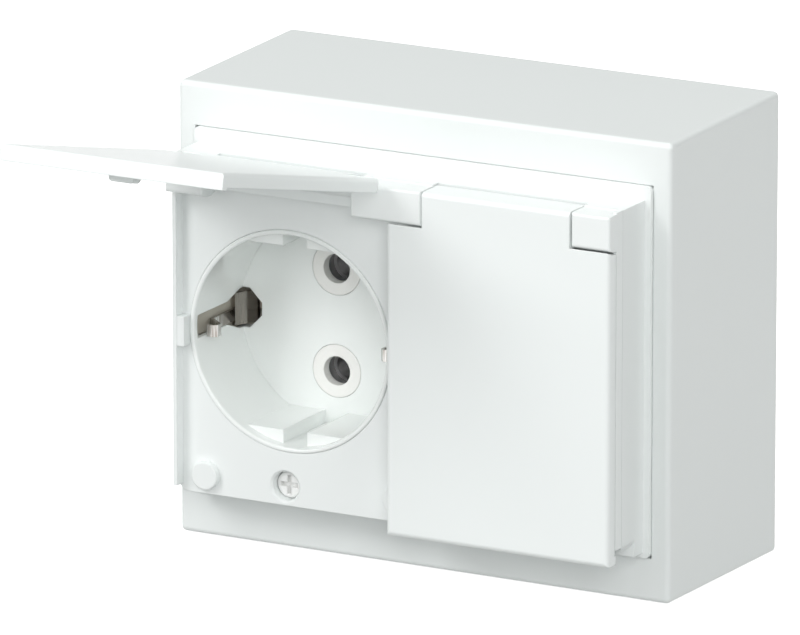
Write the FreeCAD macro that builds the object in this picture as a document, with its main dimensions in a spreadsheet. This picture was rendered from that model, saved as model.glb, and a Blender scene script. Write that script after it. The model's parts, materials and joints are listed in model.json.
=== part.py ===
import FreeCAD, Part
import math
import os
import Sketcher

# A surface-mounted, weatherproof double mains socket with a hinged lid over each cup.
# X runs to the right, Z up and Y into the wall. The origin is the middle of the box's back,
# and a "reach" is a distance forward from the wall, so it is minus Y.

doc = FreeCAD.newDocument("outdoor_double_socket")
sizes = doc.addObject("Spreadsheet::Sheet", "sizes")

driving_sizes = {
    "box_height": 84.0,
    "box_depth": 41.0,
    "box_side_draft": 0.25,
    "box_top_draft": 0.6,
    "box_wall": 2.5,
    "box_front_wall": 4.5,
    "box_edge_round": 1.0,
    "box_border": 3.6,
    "seat_clearance": 0.25,
    "flange_border": 1.3,
    "flange_clearance": 0.08,
    "flange_rise": 34.0,
    "flange_drop": 33.9,
    "flange_proud": 0.7,
    "flange_thickness": 1.9,
    "flange_round": 1.0,
    "flange_overlap": 2.6,
    "gasket_thickness": 0.8,
    "plate_border": 2.4,
    "block_rise": 31.45,
    "block_drop": 31.4,
    "block_bottom_round": 2.0,
    "cover_wall": 1.4,
    "skirt_drop": 1.5,
    "skirt_depth": 3.3,
    "plate_reach": 8.8,
    "plate_thickness": 2.0,
    "rim_thickness": 0.8,
    "rim_height": 2.25,
    "rim_step": 0.1,
    "hinge_reach": 11.15,
    "hinge_rise": 29.55,
    "hinge_pin_diameter": 1.6,
    "hinge_bore_clearance": 0.05,
    "hinge_barrel_radius": 1.6,
    "hinge_pin_end_cover": 1.3,
    "hinge_wall_depth": 6.0,
    "hinge_wall_thickness": 1.3,
    "open_angle": 103.6,
    "middle_ear_width": 14.1,
    "end_ear_width": 7.67,
    "ear_radius": 5.04,
    "ear_clearance": 0.4,
    "ear_side_clearance": 0.3,
    "ear_edge_round": 0.5,
    "pocket_clearance": 0.4,
    "pocket_wall": 1.9,
    "pocket_border": 1.5,
    "lid_reach": 13.7,
    "lid_rise": 31.2,
    "lid_drop": 32.54,
    "lid_half_gap": 0.15,
    "lid_side_clearance": 0.05,
    "lid_thickness": 1.8,
    "lid_wall": 1.2,
    "lid_wall_depth": 2.55,
    "lid_lip_depth": 3.05,
    "lid_lip_thickness": 1.6,
    "lid_edge_round": 0.9,
    "lug_width": 5.1,
    "lug_height": 2.4,
    "lug_drop": 28.1,
    "lug_depth": 4.15,
    "lug_round": 0.8,
    "cup_spacing": 43.8,
    "cup_drop": 0.94,
    "cup_radius": 19.6,
    "cup_wall": 0.9,
    "cup_depth": 17.5,
    "cup_proud": 0.3,
    "cup_floor": 2.0,
    "cup_rim_round": 0.35,
    "cup_clearance": 0.04,
    "cup_flange_width": 0.8,
    "cup_flange_thickness": 1.4,
    "shelf_distance": 17.0,
    "shelf_below_rim": 2.1,
    "shelf_notch": 4.8,
    "slot_front_depth": 1.3,
    "slot_height": 4.3,
    "slot_wide_height": 7.4,
    "slot_taper_start_depth": 12.1,
    "slot_taper_end_depth": 16.3,
    "pocket_inner_distance": 15.4,
    "pocket_inner_height": 2.4,
    "pin_spacing": 19.0,
    "pin_hole_diameter": 5.4,
    "bush_diameter": 9.8,
    "bush_clearance": 0.05,
    "carrier_radius": 16.5,
    "wiring_gap": 4.0,
    "carrier_bar_height": 9.0,
    "carrier_bar_depth": 4.6,
    "carrier_arm_thickness": 0.8,
    "carrier_arm_clearance": 0.1,
    "carrier_arm_end_depth": 5.2,
    "carrier_tongue_height": 3.9,
    "carrier_tongue_end_depth": 2.5,
    "channel_clearance": 0.2,
    "carrier_screw_across": 10.0,
    "carrier_screw_up": 8.0,
    "carrier_boss_diameter": 4.8,
    "carrier_boss_length": 5.0,
    "strap_thickness": 0.6,
    "strap_width": 6.0,
    "strap_tip_width": 2.2,
    "strap_tip_drop": 0.95,
    "strap_bend_depth": 15.2,
    "strap_foot_distance": 17.4,
    "strap_back_distance": 19.95,
    "strap_nose_distance": 16.7,
    "strap_nose_depth": 4.9,
    "strap_nose_length": 1.3,
    "strap_nose_ramp": 2.2,
    "strap_hook_length": 1.9,
    "contact_pin_diameter": 4.9,
    "contact_wall": 0.65,
    "contact_clearance": 0.05,
    "contact_slit": 0.8,
    "contact_sleeve_inset": 2.6,
    "terminal_width": 8.0,
    "terminal_height": 6.6,
    "terminal_depth": 5.0,
    "wire_hole_diameter": 2.8,
    "terminal_screw_diameter": 2.5,
    "terminal_head_diameter": 3.8,
    "terminal_head_height": 1.4,
    "retainer_thickness": 1.2,
    "retainer_side_clearance": 0.4,
    "retainer_inner_rise": 12.0,
    "retainer_outer_rise": 23.4,
    "retainer_inner_drop": 14.0,
    "retainer_outer_drop": 25.2,
    "retainer_screw_inset": 3.5,
    "retainer_screw_rise": 20.5,
    "retainer_screw_drop": 22.0,
    "retainer_boss_diameter": 5.2,
    "small_screw_diameter": 2.2,
    "small_screw_head": 4.4,
    "small_screw_head_height": 1.4,
    "cover_screw_across": 23.0,
    "cover_screw_drop": 27.9,
    "cover_screw_diameter": 3.0,
    "cover_screw_head": 5.1,
    "cover_screw_head_height": 1.7,
    "cover_screw_length": 16.0,
    "cover_screw_slot": 0.8,
    "cover_screw_slot_length": 3.5,
    "cover_screw_slot_depth": 0.9,
    "recess_diameter": 5.3,
    "recess_depth": 3.2,
    "recess_chamfer": 0.4,
    "screw_hole_clearance": 0.1,
    "screw_boss_diameter": 6.7,
    "screw_boss_length": 10.1,
    "post_diameter": 6.4,
    "post_clearance": 0.1,
    "stud_diameter": 5.2,
    "stud_height": 1.35,
    "stud_edge_round": 0.3,
    "stud_border": 5.8,
    "stud_drop": 27.8,
    "middle_stud_drop": 27.0,
    "tab_width": 1.5,
    "tab_low": 4.0,
    "tab_high": 1.5,
    "hook_across": 25.0,
    "hook_width": 6.0,
    "hook_thickness": 1.8,
    "hook_clearance": 0.2,
    "hook_grip": 2.0,
    "back_plate_thickness": 2.6,
    "fixing_hole_diameter": 4.5,
    "fixing_border_across": 13.7,
    "fixing_border_up": 11.0,
    "entry_spacing": 43.8,
    "entry_reach": 20.0,
    "entry_diameter": 16.0,
    "membrane_flange": 1.6,
    "membrane_flange_thickness": 1.4,
    "membrane_recess": 0.6,
    "membrane_skin": 0.8,
    "margin": 1.0,
}
for row, (name, value) in enumerate(driving_sizes.items(), start=1):
    sizes.set(f"A{row}", name.replace("_", " "))
    sizes.set(f"B{row}", str(value))
    sizes.setAlias(f"B{row}", name)
doc.recompute()

# Levels and places that several pieces share, all worked out from the sheet.
cup_outer = "(sizes.cup_radius + sizes.cup_wall)"
block_half = f"(sizes.cup_spacing / 2 + {cup_outer} + sizes.plate_border)"
flange_half = f"({block_half} + sizes.flange_border)"
box_half = f"({flange_half} + sizes.box_border)"
flange_front = "(sizes.box_depth + sizes.flange_proud)"
flange_back = f"({flange_front} - sizes.flange_thickness)"
rebate_floor = f"({flange_back} - sizes.gasket_thickness)"
plate_front = "(sizes.box_depth + sizes.plate_reach)"
plate_back = f"({plate_front} - sizes.plate_thickness)"
rim_front = f"({plate_front} + sizes.rim_height)"
hinge_reach = "(sizes.box_depth + sizes.hinge_reach)"
lid_front = "(sizes.box_depth + sizes.lid_reach)"
lid_inside = f"({lid_front} - sizes.lid_thickness)"
rim_outer = f"({block_half} - sizes.rim_step)"
rim_inner = f"({rim_outer} - sizes.rim_thickness)"
lid_outer = f"({rim_outer} - sizes.lid_side_clearance)"
end_ear_inner = f"({rim_outer} - sizes.end_ear_width)"
middle_ear_side = "(sizes.middle_ear_width / 2)"
swing_radius = (
    "(sqrt((sizes.hinge_wall_depth - sizes.lid_reach + sizes.hinge_reach) ^ 2"
    " + (sizes.lid_rise - sizes.hinge_rise) ^ 2) + sizes.pocket_clearance)"
)
pocket_back = f"({hinge_reach} - {swing_radius})"
pocket_floor = f"(sizes.hinge_rise - {swing_radius})"
cup_front = f"({plate_front} + sizes.cup_proud)"
cup_floor_front = f"({cup_front} - sizes.cup_depth)"
cup_floor_back = f"({cup_floor_front} - sizes.cup_floor)"
cup_flange_back = f"({plate_back} - sizes.cup_flange_thickness)"
terminal_back = "(sizes.back_plate_thickness + sizes.wiring_gap + sizes.terminal_head_height)"
carrier_back = f"({terminal_back} + sizes.terminal_depth)"
carrier_depth = f"({cup_floor_back} - {carrier_back})"
arm_outer = f"({cup_outer} + sizes.carrier_arm_clearance + sizes.carrier_arm_thickness)"
channel_floor = f"({cup_floor_back} - 1.5 * sizes.strap_thickness)"
retainer_half = f"({block_half} - sizes.cover_wall - sizes.retainer_side_clearance)"
retainer_screw_across = f"({retainer_half} - sizes.retainer_screw_inset)"
stud_across = f"({block_half} - sizes.stud_border)"
recess_floor = f"({plate_front} - sizes.recess_depth)"
screw_boss_back = f"({plate_front} - sizes.screw_boss_length)"
box_inside_up = "(sizes.box_height / 2 - sizes.box_wall)"
box_inside_across = f"({box_half} - sizes.box_wall)"
opening_across = f"({flange_half} - sizes.flange_overlap)"
opening_rise = "(sizes.flange_rise - sizes.flange_overlap)"
opening_drop = "(sizes.flange_drop - sizes.flange_overlap)"

sides = {"left": -1, "right": 1}
kept_parts = []


def number(expression):
    """The value of an expression on the sheet."""
    return float(sizes.evalExpression(expression))


def span(side, near, far):
    """Lowest and highest X of a stretch that starts near the middle on one side."""
    if side > 0:
        return near, far
    return f"-({far})", f"-({near})"


def cup_centre(side):
    """X of a cup's axis."""
    return f"({side} * sizes.cup_spacing / 2)"


def cover_screw_centre(side):
    """X of a cover screw's axis."""
    return f"({side} * sizes.cover_screw_across)"


def new_body(label):
    """A body that is one kept piece, or one kept group of like pieces."""
    body = doc.addObject("PartDesign::Body", label)
    body.Label = label
    body.AllowCompound = True
    kept_parts.append(body)
    return body


def new_sketch(body, name, role, out):
    """A sketch parallel to one of the body's origin planes, a distance out from it."""
    planes = {feature.Role: feature for feature in body.Origin.OriginFeatures}
    sketch = body.newObject("Sketcher::SketchObject", name)
    sketch.AttachmentSupport = [(planes[role], "")]
    sketch.MapMode = "FlatFace"
    sketch.setExpression(".AttachmentOffset.Base.z", out)
    return sketch


def front_sketch(body, name, reach):
    """A sketch seen from the front: across is X, up is Z, at a reach from the wall."""
    return new_sketch(body, name, "XZ_Plane", reach)


def side_sketch(body, name, x):
    """A sketch seen from the right: across is Y, up is Z."""
    return new_sketch(body, name, "YZ_Plane", x)


def plan_sketch(body, name, z):
    """A sketch seen from above: across is X, up is Y."""
    return new_sketch(body, name, "XY_Plane", z)


def bind(sketch, constraint, expression):
    """Adds a constraint whose value follows an expression."""
    index = sketch.addConstraint(constraint)
    sketch.setExpression(f"Constraints[{index}]", expression)


def add_polygon(sketch, corners):
    """A closed outline with straight sides, from pairs of expressions."""
    points = [FreeCAD.Vector(number(across), number(up), 0) for across, up in corners]
    first = sketch.GeometryCount
    count = len(points)
    for i in range(count):
        sketch.addGeometry(Part.LineSegment(points[i], points[(i + 1) % count]), False)
    for i, (across, up) in enumerate(corners):
        line = first + i
        following = first + (i + 1) % count
        sketch.addConstraint(Sketcher.Constraint("Coincident", line, 2, following, 1))
        bind(sketch, Sketcher.Constraint("DistanceX", -1, 1, line, 1, points[i].x), across)
        bind(sketch, Sketcher.Constraint("DistanceY", -1, 1, line, 1, points[i].y), up)


def add_rectangle(sketch, left, right, low, high):
    """A rectangle between four expressions."""
    add_polygon(sketch, [(left, low), (right, low), (right, high), (left, high)])


def add_circle(sketch, across, up, radius):
    """A circle whose centre and radius follow expressions."""
    centre = FreeCAD.Vector(number(across), number(up), 0)
    circle = Part.Circle(centre, FreeCAD.Vector(0, 0, 1), number(radius))
    index = sketch.addGeometry(circle, False)
    bind(sketch, Sketcher.Constraint("DistanceX", -1, 1, index, 3, centre.x), across)
    bind(sketch, Sketcher.Constraint("DistanceY", -1, 1, index, 3, centre.y), up)
    bind(sketch, Sketcher.Constraint("Radius", index, number(radius)), radius)


def pad(body, sketch, length, middle=False):
    """Adds material from the sketch's plane outwards, or to both sides of it."""
    feature = body.newObject("PartDesign::Pad", sketch.Name + "_pad")
    feature.Profile = sketch
    feature.setExpression("Length", length)
    if middle:
        feature.SideType = "Symmetric"
    return feature


def cut(body, sketch, length):
    """Cuts from the sketch's plane backwards, against the plane's own direction."""
    feature = body.newObject("PartDesign::Pocket", sketch.Name + "_cut")
    feature.Profile = sketch
    feature.setExpression("Length", length)
    return feature


def pad_between(body, sketch_name, low, high, draw):
    """A pad seen from the front, from one reach to a further one."""
    sketch = front_sketch(body, sketch_name, low)
    draw(sketch)
    return pad(body, sketch, f"{high} - {low}")


def cut_between(body, sketch_name, low, high, draw):
    """A cut seen from the front, from the further reach back to the nearer one."""
    sketch = front_sketch(body, sketch_name, high)
    draw(sketch)
    return cut(body, sketch, f"{high} - {low}")


def stop_on_failed_objects():
    """Stops with the names of the objects that did not compute."""
    failed = [obj.Name for obj in doc.Objects if {"Invalid", "Error"} & set(obj.State)]
    if failed:
        raise RuntimeError(f"failed objects: {failed}")


def blend_edges(body, kind, name, size, chosen):
    """Rounds or chamfers the edges of the body's tip that the test picks."""
    doc.recompute()
    stop_on_failed_objects()
    tip = body.Tip
    names = [f"Edge{i}" for i, edge in enumerate(tip.Shape.Edges, start=1) if chosen(edge)]
    if not names:
        raise RuntimeError(f"{body.Label}: {name} finds no edge")
    feature = body.newObject(kind, name)
    feature.Base = (tip, names)
    feature.setExpression("Radius" if kind.endswith("Fillet") else "Size", size)
    return feature


def is_line_along(edge, direction):
    """True where an edge is straight and runs along a direction."""
    if edge.Curve.TypeId != "Part::GeomLine":
        return False
    return abs(abs(edge.tangentAt(edge.FirstParameter).dot(direction)) - 1) < 1e-3


def lies_at_reach(edge, reach):
    """True where both ends of an edge lie at a reach from the wall."""
    return all(abs(vertex.Point.y + reach) < 1e-3 for vertex in edge.Vertexes)


def is_circle_at(edge, radius, reach):
    """True where an edge is a circle of a radius at a reach from the wall."""
    if edge.Curve.TypeId != "Part::GeomCircle" or abs(edge.Curve.Radius - radius) > 1e-3:
        return False
    return lies_at_reach(edge, reach)


depth_direction = FreeCAD.Vector(0, 1, 0)


def build_surface_box():
    """The hood on the wall: open at the back, with a rebated opening in its front."""
    body = new_body("surface_box")
    back = front_sketch(body, "box_back", "0")
    half_back = f"({box_half} + sizes.box_side_draft)"
    up_back = "(sizes.box_height / 2 + sizes.box_top_draft)"
    add_rectangle(back, f"-{half_back}", half_back, f"-{up_back}", up_back)
    front = front_sketch(body, "box_front", "sizes.box_depth")
    up_front = "(sizes.box_height / 2)"
    add_rectangle(front, f"-{box_half}", box_half, f"-{up_front}", up_front)
    loft = body.newObject("PartDesign::AdditiveLoft", "box_draft")
    loft.Profile = back
    loft.Sections = [front]
    blend_edges(
        body, "PartDesign::Fillet", "box_edges", "sizes.box_edge_round",
        lambda edge: not lies_at_reach(edge, 0),
    )
    cavity_front = "(sizes.box_depth - sizes.box_front_wall)"
    cut_between(
        body, "box_cavity", "(-1)", cavity_front,
        lambda sketch: add_rectangle(
            sketch, f"-{box_inside_across}", box_inside_across, f"-{box_inside_up}", box_inside_up
        ),
    )
    cut_between(
        body, "box_opening", f"({cavity_front} - sizes.margin)", "(sizes.box_depth + sizes.margin)",
        lambda sketch: add_rectangle(
            sketch, f"-{opening_across}", opening_across, f"-{opening_drop}", opening_rise
        ),
    )
    rebate_across = f"({flange_half} + sizes.flange_clearance)"
    cut_between(
        body, "box_rebate", rebate_floor, "(sizes.box_depth + sizes.margin)",
        lambda sketch: add_rectangle(
            sketch, f"-{rebate_across}", rebate_across,
            "-(sizes.flange_drop + sizes.flange_clearance)", "sizes.flange_rise + sizes.flange_clearance",
        ),
    )
    entries = plan_sketch(body, "cable_entries", f"-({box_inside_up} - sizes.margin)")
    for side in sides.values():
        across = f"{side} * sizes.entry_spacing / 2"
        add_circle(entries, across, "-sizes.entry_reach", "sizes.entry_diameter / 2")
    cut(body, entries, "sizes.box_wall + sizes.box_top_draft + 2 * sizes.margin")


def build_entry_membranes():
    """Rubber membranes that close the cable entries, flush with or inside the bottom."""
    body = new_body("entry_membranes")
    bottom = "-(sizes.box_height / 2 - sizes.membrane_recess)"
    inside = f"-{box_inside_up}"
    plug = plan_sketch(body, "membrane_plug", bottom)
    flange = plan_sketch(body, "membrane_flange", inside)
    hollow = plan_sketch(body, "membrane_hollow", f"{inside} + sizes.membrane_flange_thickness")
    for side in sides.values():
        across = f"{side} * sizes.entry_spacing / 2"
        up = "-sizes.entry_reach"
        add_circle(plug, across, up, "sizes.entry_diameter / 2 - sizes.bush_clearance")
        add_circle(flange, across, up, "sizes.entry_diameter / 2 + sizes.membrane_flange")
        add_circle(hollow, across, up, "sizes.entry_diameter / 2 - sizes.membrane_flange")
    pad(body, plug, "sizes.box_wall - sizes.membrane_recess")
    pad(body, flange, "sizes.membrane_flange_thickness")
    hollow_depth = (
        "sizes.box_wall - sizes.membrane_recess + sizes.membrane_flange_thickness - sizes.membrane_skin"
    )
    cut(body, hollow, hollow_depth)


def build_back_plate():
    """The plate on the wall, with fixing holes and two posts for the cover screws."""
    body = new_body("back_plate")
    across = f"({box_inside_across} - sizes.seat_clearance)"
    up = f"({box_inside_up} - sizes.seat_clearance)"
    pad_between(
        body, "back_plate_outline", "0", "sizes.back_plate_thickness",
        lambda sketch: add_rectangle(sketch, f"-{across}", across, f"-{up}", up),
    )
    post_front = f"({screw_boss_back} - sizes.post_clearance)"
    screw_end = f"({recess_floor} - sizes.cover_screw_length)"
    posts = front_sketch(body, "posts", "sizes.back_plate_thickness")
    pilots = front_sketch(body, "post_pilots", post_front)
    for side in sides.values():
        place = (cover_screw_centre(side), "-sizes.cover_screw_drop")
        add_circle(posts, *place, "sizes.post_diameter / 2")
        add_circle(pilots, *place, "sizes.cover_screw_diameter / 2")
    pad(body, posts, f"{post_front} - sizes.back_plate_thickness")
    cut(body, pilots, f"{post_front} - {screw_end} + sizes.margin")
    holes = front_sketch(body, "fixing_holes", "sizes.back_plate_thickness + sizes.margin")
    for side in sides.values():
        for level in (-1, 1):
            add_circle(
                holes, f"{side} * ({box_half} - sizes.fixing_border_across)",
                f"{level} * (sizes.box_height / 2 - sizes.fixing_border_up)",
                "sizes.fixing_hole_diameter / 2",
            )
    cut(body, holes, "sizes.back_plate_thickness + 2 * sizes.margin")


def build_cover_gasket():
    """The flat seal between the box's rebate and the cover's flange."""
    body = new_body("cover_gasket")

    def draw(sketch):
        add_rectangle(
            sketch, f"-{flange_half}", flange_half,
            "-sizes.flange_drop", "sizes.flange_rise",
        )
        add_rectangle(sketch, f"-{opening_across}", opening_across, f"-{opening_drop}", opening_rise)

    pad_between(body, "gasket_outline", rebate_floor, flange_back, draw)


def add_ear(body, name, low, high):
    """A hinge ear, whose underside is round about the hinge so that the lid can turn past it."""
    sketch = side_sketch(body, name, low)
    front = f"-{lid_front}"
    back = f"-({plate_front} - sizes.plate_thickness / 2)"
    axis = FreeCAD.Vector(-number(hinge_reach), number("sizes.hinge_rise"), 0)
    radius = number("sizes.ear_radius")
    top_front = FreeCAD.Vector(number(front), number("sizes.lid_rise"), 0)
    top_back = FreeCAD.Vector(number(back), number("sizes.lid_rise"), 0)
    front_drop = math.sqrt(radius**2 - (top_front.x - axis.x) ** 2)
    back_drop = math.sqrt(radius**2 - (top_back.x - axis.x) ** 2)
    low_front = FreeCAD.Vector(top_front.x, axis.y - front_drop, 0)
    low_back = FreeCAD.Vector(top_back.x, axis.y - back_drop, 0)
    start = math.atan2(low_front.y - axis.y, low_front.x - axis.x)
    end = math.atan2(low_back.y - axis.y, low_back.x - axis.x)
    circle = Part.Circle(axis, FreeCAD.Vector(0, 0, 1), radius)
    sketch.addGeometry(Part.LineSegment(top_front, low_front), False)
    sketch.addGeometry(Part.ArcOfCircle(circle, start, end), False)
    sketch.addGeometry(Part.LineSegment(low_back, top_back), False)
    sketch.addGeometry(Part.LineSegment(top_back, top_front), False)
    for line in range(4):
        sketch.addConstraint(Sketcher.Constraint("Coincident", line, 2, (line + 1) % 4, 1))
    sketch.addConstraint(Sketcher.Constraint("Vertical", 0))
    sketch.addConstraint(Sketcher.Constraint("Vertical", 2))
    sketch.addConstraint(Sketcher.Constraint("Horizontal", 3))
    bind(sketch, Sketcher.Constraint("DistanceX", -1, 1, 0, 1, top_front.x), front)
    bind(sketch, Sketcher.Constraint("DistanceY", -1, 1, 0, 1, top_front.y), "sizes.lid_rise")
    bind(sketch, Sketcher.Constraint("DistanceX", -1, 1, 2, 2, top_back.x), back)
    bind(sketch, Sketcher.Constraint("DistanceX", -1, 1, 1, 3, axis.x), f"-{hinge_reach}")
    bind(sketch, Sketcher.Constraint("DistanceY", -1, 1, 1, 3, axis.y), "sizes.hinge_rise")
    bind(sketch, Sketcher.Constraint("Radius", 1, radius), "sizes.ear_radius")
    pad(body, sketch, f"({high}) - ({low})")


def build_cover_frame():
    """The cover: flange, raised block with its plate, rims, hinge ears, studs and tabs."""
    body = new_body("cover_frame")
    pad_between(
        body, "flange", flange_back, flange_front,
        lambda sketch: add_rectangle(
            sketch, f"-{flange_half}", flange_half,
            "-sizes.flange_drop", "sizes.flange_rise",
        ),
    )
    blend_edges(
        body, "PartDesign::Fillet", "flange_corners", "sizes.flange_round",
        lambda edge: is_line_along(edge, depth_direction),
    )
    pad_between(
        body, "block", flange_back, plate_front,
        lambda sketch: add_rectangle(
            sketch, f"-{block_half}", block_half, "-sizes.block_drop", "sizes.block_rise"
        ),
    )
    block_corner = number(block_half)
    block_bottom = -number("sizes.block_drop")

    def is_low_corner(edge):
        point = edge.Vertexes[0].Point
        at_corner = abs(abs(point.x) - block_corner) < 1e-3 and abs(point.z - block_bottom) < 1e-3
        return at_corner and is_line_along(edge, depth_direction)

    blend_edges(
        body, "PartDesign::Fillet", "block_low_corners", "sizes.block_bottom_round", is_low_corner
    )
    rims = front_sketch(body, "rims", f"({plate_front} - sizes.plate_thickness / 2)")
    rim_low = "-(sizes.block_drop - sizes.block_bottom_round / sqrt(2))"
    for side in sides.values():
        low, high = span(side, rim_inner, rim_outer)
        add_rectangle(rims, low, high, rim_low, "sizes.block_rise")
    pad(body, rims, "sizes.rim_height + sizes.plate_thickness / 2")
    pad_between(
        body, "skirt", flange_back, f"({flange_front} + sizes.skirt_depth)",
        lambda sketch: add_rectangle(
            sketch, f"-{block_half}", block_half,
            "-(sizes.block_drop + sizes.skirt_drop)", "-(sizes.block_drop - sizes.block_bottom_round)",
        ),
    )
    cut_between(
        body, "cover_hollow", f"({flange_back} - sizes.margin)", plate_back,
        lambda sketch: add_rectangle(
            sketch, f"-({block_half} - sizes.cover_wall)", f"{block_half} - sizes.cover_wall",
            "-(sizes.block_drop - sizes.cover_wall)", "sizes.block_rise - sizes.cover_wall",
        ),
    )
    add_hinge_pockets(body)
    middle_low, middle_high = f"-{middle_ear_side}", middle_ear_side
    add_ear(body, "middle_ear", middle_low, middle_high)
    for side_name, side in sides.items():
        low, high = span(side, end_ear_inner, rim_outer)
        add_ear(body, f"{side_name}_end_ear", low, high)
    front = number(lid_front)
    blend_edges(
        body, "PartDesign::Fillet", "ear_edges", "sizes.ear_edge_round",
        lambda edge: lies_at_reach(edge, front),
    )
    add_pin_bores(body)
    add_cup_holes(body)
    add_screw_recesses(body)
    add_plate_studs(body)
    add_hooks(body)


def add_hinge_pockets(body):
    """The pockets between the ears, in which each lid's hinge wall turns."""
    walls = front_sketch(body, "pocket_walls", f"({pocket_back} - sizes.pocket_wall)")
    pockets = front_sketch(body, "hinge_pockets", f"({plate_front} + sizes.margin)")
    for side in sides.values():
        low, high = span(side, middle_ear_side, end_ear_inner)
        add_rectangle(
            walls, f"{low} - sizes.pocket_border", f"{high} + sizes.pocket_border",
            f"{pocket_floor} - sizes.pocket_border", "sizes.block_rise - sizes.cover_wall / 2",
        )
        add_rectangle(pockets, low, high, pocket_floor, "sizes.block_rise + sizes.margin")
    pad(body, walls, f"{plate_back} - ({pocket_back} - sizes.pocket_wall) + 0.5 * sizes.plate_thickness")
    cut(body, pockets, f"{plate_front} + sizes.margin - {pocket_back}")


def add_pin_bores(body):
    """Blind bores in the ears, in which the hinge pins are pressed."""
    for side_name, side in sides.items():
        low, high = span(side, "sizes.hinge_pin_end_cover", f"({rim_outer} - sizes.hinge_pin_end_cover)")
        bore = side_sketch(body, f"{side_name}_pin_bore", high)
        add_circle(bore, f"-{hinge_reach}", "sizes.hinge_rise", "sizes.hinge_pin_diameter / 2")
        cut(body, bore, f"({high}) - ({low})")


def add_cup_holes(body):
    """Round holes in the plate, one round each cup's ring."""
    holes = front_sketch(body, "cup_holes", f"({plate_front} + sizes.margin)")
    for side in sides.values():
        add_circle(holes, cup_centre(side), "-sizes.cup_drop", f"{cup_outer} + sizes.cup_clearance")
    cut(body, holes, "sizes.plate_thickness + 2 * sizes.margin")
    bosses = front_sketch(body, "retainer_bosses", cup_flange_back)
    pilots = front_sketch(body, "retainer_pilots", f"({plate_back} + sizes.plate_thickness / 2)")
    for across, up in retainer_screw_places():
        add_circle(bosses, across, up, "sizes.retainer_boss_diameter / 2")
        add_circle(pilots, across, up, "sizes.small_screw_diameter / 2")
    pad(body, bosses, f"sizes.cup_flange_thickness + sizes.plate_thickness / 4")
    cut(body, pilots, f"{plate_back} + sizes.plate_thickness / 2 - {cup_flange_back}")


def retainer_screw_places():
    """X and Z of the six screws that hold the retainers."""
    places = []
    for up in ("sizes.retainer_screw_rise", "-sizes.retainer_screw_drop"):
        for across in (f"-{retainer_screw_across}", "0", retainer_screw_across):
            places.append((across, up))
    return places


def add_screw_recesses(body):
    """Chamfered recesses under the cups, with a boss behind each, for the cover screws."""
    bosses = front_sketch(body, "screw_bosses", screw_boss_back)
    recesses = front_sketch(body, "screw_recesses", plate_front)
    holes = front_sketch(body, "screw_holes", plate_front)
    for side in sides.values():
        place = (cover_screw_centre(side), "-sizes.cover_screw_drop")
        add_circle(bosses, *place, "sizes.screw_boss_diameter / 2")
        add_circle(recesses, *place, "sizes.recess_diameter / 2")
        add_circle(holes, *place, "sizes.cover_screw_diameter / 2 + sizes.screw_hole_clearance")
    pad(body, bosses, f"{plate_back} - {screw_boss_back} + sizes.plate_thickness / 2")
    cut(body, recesses, "sizes.recess_depth")
    cut(body, holes, "sizes.screw_boss_length + sizes.margin")
    radius = number("sizes.recess_diameter / 2")
    front = number(plate_front)
    blend_edges(
        body, "PartDesign::Chamfer", "recess_mouths", "sizes.recess_chamfer",
        lambda edge: is_circle_at(edge, radius, front),
    )


def add_plate_studs(body):
    """Round stops on the plate for the lids, and the side tabs that the lids' walls meet."""
    inside_plate = f"({plate_front} - sizes.plate_thickness / 2)"
    studs = front_sketch(body, "studs", inside_plate)
    add_circle(studs, f"-{stud_across}", "-sizes.stud_drop", "sizes.stud_diameter / 2")
    add_circle(studs, "0", "-sizes.middle_stud_drop", "sizes.stud_diameter / 2")
    add_circle(studs, stud_across, "-sizes.stud_drop", "sizes.stud_diameter / 2")
    pad(body, studs, "sizes.stud_height + sizes.plate_thickness / 2")
    radius = number("sizes.stud_diameter / 2")
    top = number(f"{plate_front} + sizes.stud_height")
    blend_edges(
        body, "PartDesign::Fillet", "stud_edges", "sizes.stud_edge_round",
        lambda edge: is_circle_at(edge, radius, top),
    )
    tabs = front_sketch(body, "tabs", inside_plate)
    for side in sides.values():
        low, high = span(side, f"({rim_inner} - sizes.tab_width)", f"({rim_inner} + sizes.rim_thickness / 2)")
        add_rectangle(tabs, low, high, "-sizes.tab_low", "sizes.tab_high")
    pad(body, tabs, f"{rim_front} - sizes.lid_side_clearance - {inside_plate}")


def add_hooks(body):
    """Two hooks at the top that reach behind the box's front wall."""
    leg_top = f"({opening_rise} - sizes.hook_clearance)"
    leg_low = f"({leg_top} - sizes.hook_thickness)"
    wall_back = "(sizes.box_depth - sizes.box_front_wall - sizes.hook_clearance)"
    hook_back = f"({wall_back} - sizes.hook_thickness)"
    for side_name, side in sides.items():
        low, high = span(side, "sizes.hook_across", "(sizes.hook_across + sizes.hook_width)")
        hook = side_sketch(body, f"{side_name}_hook", low)
        add_polygon(hook, [
            (f"-({flange_back} + sizes.flange_thickness / 2)", leg_low),
            (f"-({flange_back} + sizes.flange_thickness / 2)", leg_top),
            (f"-{wall_back}", leg_top),
            (f"-{wall_back}", f"{leg_top} + sizes.hook_grip"),
            (f"-{hook_back}", f"{leg_top} + sizes.hook_grip"),
            (f"-{hook_back}", leg_low),
        ])
        pad(body, hook, "sizes.hook_width")


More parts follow.
